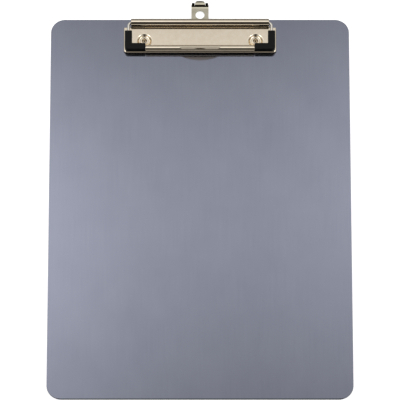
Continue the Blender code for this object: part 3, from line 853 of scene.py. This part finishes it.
def rubber_material():
    """Moulded black rubber with a fine matt skin."""
    material, tree, shader = new_material("black_rubber", 0.0, Specular_IOR_Level=0.14)
    skin = pattern(tree, (3800.0, 3800.0, 3800.0), detail=3.0)
    dust = pattern(tree, (420.0, 420.0, 420.0), detail=4.0, offset=4.0)
    tone = two_colours(tree, spread(tree, dust, 0.0, 1.0), BLACK_RUBBER)
    tree.links.new(tone, shader.inputs["Base Color"])
    tree.links.new(spread(tree, dust, 0.42, 0.58), shader.inputs["Roughness"])
    tree.links.new(bump(tree, skin, 0.02 * MM, 0.5), shader.inputs["Normal"])
    return material


# ---------------------------------------------------------------- stage


def make_floor():
    """A pale floor that glows a little, so that it stays white, and isn't seen in the metal."""
    bm = bmesh.new()
    bmesh.ops.create_grid(bm, x_segments=1, y_segments=1, size=FLOOR_SIZE / 2)
    floor = object_from_bmesh("floor", bm)
    floor.location.z = CAD_BOUNDS[0].z - FLOOR_DROP
    material = new_material(
        "pale_floor",
        0.0,
        Roughness=0.9,
        Base_Color=FLOOR_GREY,
        Emission_Color=WHITE,
        Emission_Strength=FLOOR_GLOW,
    )[0]
    floor.data.materials.append(material)
    floor.visible_glossy = False


def make_world():
    """A soft dome with bands of light and dark that run from side to side.

    The dark bands are lit up away from the middle, so that only the middle of the dome has them.
    The camera sees plain white.
    """
    world = bpy.data.worlds.new("studio")
    bpy.context.scene.world = world
    world.use_nodes = True
    tree = world.node_tree
    background = tree.nodes["Background"]
    coords = add_node(tree, "ShaderNodeTexCoord", {})
    parts = add_node(tree, "ShaderNodeSeparateXYZ", {"Vector": coords.outputs["Generated"]})
    turn = add_node(
        tree,
        "ShaderNodeMath",
        {0: parts.outputs["Z"], 1: parts.outputs["Y"]},
        operation="ARCTAN2",
    )
    share = add_node(
        tree, "ShaderNodeMath", {0: turn.outputs[0], 1: math.pi}, operation="DIVIDE"
    )
    ramp = tree.nodes.new("ShaderNodeValToRGB")
    ramp.color_ramp.interpolation = "EASE"
    tree.links.new(share.outputs[0], ramp.inputs["Fac"])
    elements = ramp.color_ramp.elements
    while len(elements) < len(DOME):
        elements.new(0.5)
    for element, (degrees, colour) in zip(elements, DOME):
        element.position = degrees / 180
        element.color = (*colour, 1.0)
    sideways = add_node(tree, "ShaderNodeMath", {0: parts.outputs["X"]}, operation="ABSOLUTE")
    fill = spread(tree, sideways.outputs[0], 0.0, DOME_FILL, FILL_START, FILL_END)
    light = add_node(
        tree, "ShaderNodeVectorMath", {0: ramp.outputs["Color"], 1: fill}, operation="MAXIMUM"
    )
    seen = add_node(tree, "ShaderNodeLightPath", {})
    lit, plain_white, result = mix_colours(tree, seen.outputs["Is Camera Ray"])
    tree.links.new(light.outputs["Vector"], lit)
    plain_white.default_value = WHITE
    tree.links.new(result, background.inputs["Color"])


def make_softbox(name, place, size, power, softness):
    """An area light aimed at the board's middle. Softness, along each side, fades its edges."""
    data = bpy.data.lights.new(name, "AREA")
    data.shape = "RECTANGLE"
    data.size = size[0]
    data.size_y = size[1]
    data.energy = power
    lamp = link(bpy.data.objects.new(name, data))
    lamp.location = place
    lamp.rotation_mode = "QUATERNION"
    lamp.rotation_quaternion = (-Vector(place)).to_track_quat("-Z", "Y")
    lamp.visible_camera = False
    data.use_nodes = True
    tree = data.node_tree
    spot = add_node(tree, "ShaderNodeNewGeometry", {})
    offset = add_node(
        tree,
        "ShaderNodeVectorMath",
        {0: spot.outputs["Parametric"], 1: (0.5, 0.5, 0.0)},
        operation="SUBTRACT",
    )
    scale = (2 * math.sqrt(softness[0]), 2 * math.sqrt(softness[1]), 0.0)
    scaled = add_node(
        tree, "ShaderNodeVectorMath", {0: offset.outputs[0], 1: scale}, operation="MULTIPLY"
    )
    square = add_node(
        tree,
        "ShaderNodeVectorMath",
        {0: scaled.outputs[0], 1: scaled.outputs[0]},
        operation="DOT_PRODUCT",
    )
    fall = add_node(
        tree, "ShaderNodeMath", {0: square.outputs["Value"], 1: -1.0}, operation="MULTIPLY"
    )
    level = add_node(tree, "ShaderNodeMath", {0: fall.outputs[0]}, operation="EXPONENT")
    tree.links.new(level.outputs[0], tree.nodes["Emission"].inputs["Strength"])
    return lamp


def make_lights():
    """A wide key that the board mirrors, one on each side, and two that light the base plate."""
    even = (4.0, 4.0)
    make_softbox("key", (0.0, 0.41, 0.825), size=(1.8, 0.74), power=2.8, softness=(1.0, 4.0))
    make_softbox("left", (-0.27, 0.39, 0.83), size=(0.64, 1.1), power=2.25, softness=even)
    make_softbox("right", (0.28, 0.46, 0.79), size=(0.6, 1.1), power=1.1, softness=even)
    plated = bpy.data.collections.new("plated")
    plated.objects.link(bpy.data.objects["base_plate_fine"])
    for side in (-1, 1):
        place = (0.6 * side, -0.16, 0.78)
        glint = make_softbox(
            f"glint_{side}", place, size=(0.8, 0.8), power=9.0, softness=(3.0, 3.0)
        )
        glint.light_linking.receiver_collection = plated


def make_camera():
    """A long lens that looks down at the middle of the writing face from the board's lower end."""
    data = bpy.data.cameras.new("camera")
    data.lens = CAMERA_LENS
    data.sensor_width = CAMERA_SENSOR
    data.shift_y = CAMERA_SHIFT
    data.clip_start, data.clip_end = CAMERA_RANGE
    camera = link(bpy.data.objects.new("camera", data))
    back = Vector((0, -math.cos(CAMERA_ELEVATION), math.sin(CAMERA_ELEVATION)))
    camera.location = Vector((0, 0, BOARD_TOP)) + back * CAMERA_DISTANCE
    camera.rotation_mode = "QUATERNION"
    camera.rotation_quaternion = (-back).to_track_quat("-Z", "Y")
    bpy.context.scene.camera = camera


# ---------------------------------------------------------------- the scene


def build():
    make_camera()
    nickel = plated_material("nickel_plate", NICKEL, roughness=0.07)
    make_board(anodised_material())
    make_base_plate(nickel)
    make_rivets(nickel)
    make_bail_wire(plated_material("wire_steel", WIRE_STEEL, roughness=0.09))
    make_jaw_bar(nickel)
    make_corner_grips(rubber_material())
    make_hanging_tab(plated_material("tab_nickel", TAB_NICKEL, roughness=0.09))
    make_floor()
    make_world()
    make_lights()
    bpy.context.scene.view_settings.view_transform = "Standard"
    bpy.context.scene.view_settings.look = "None"


build()
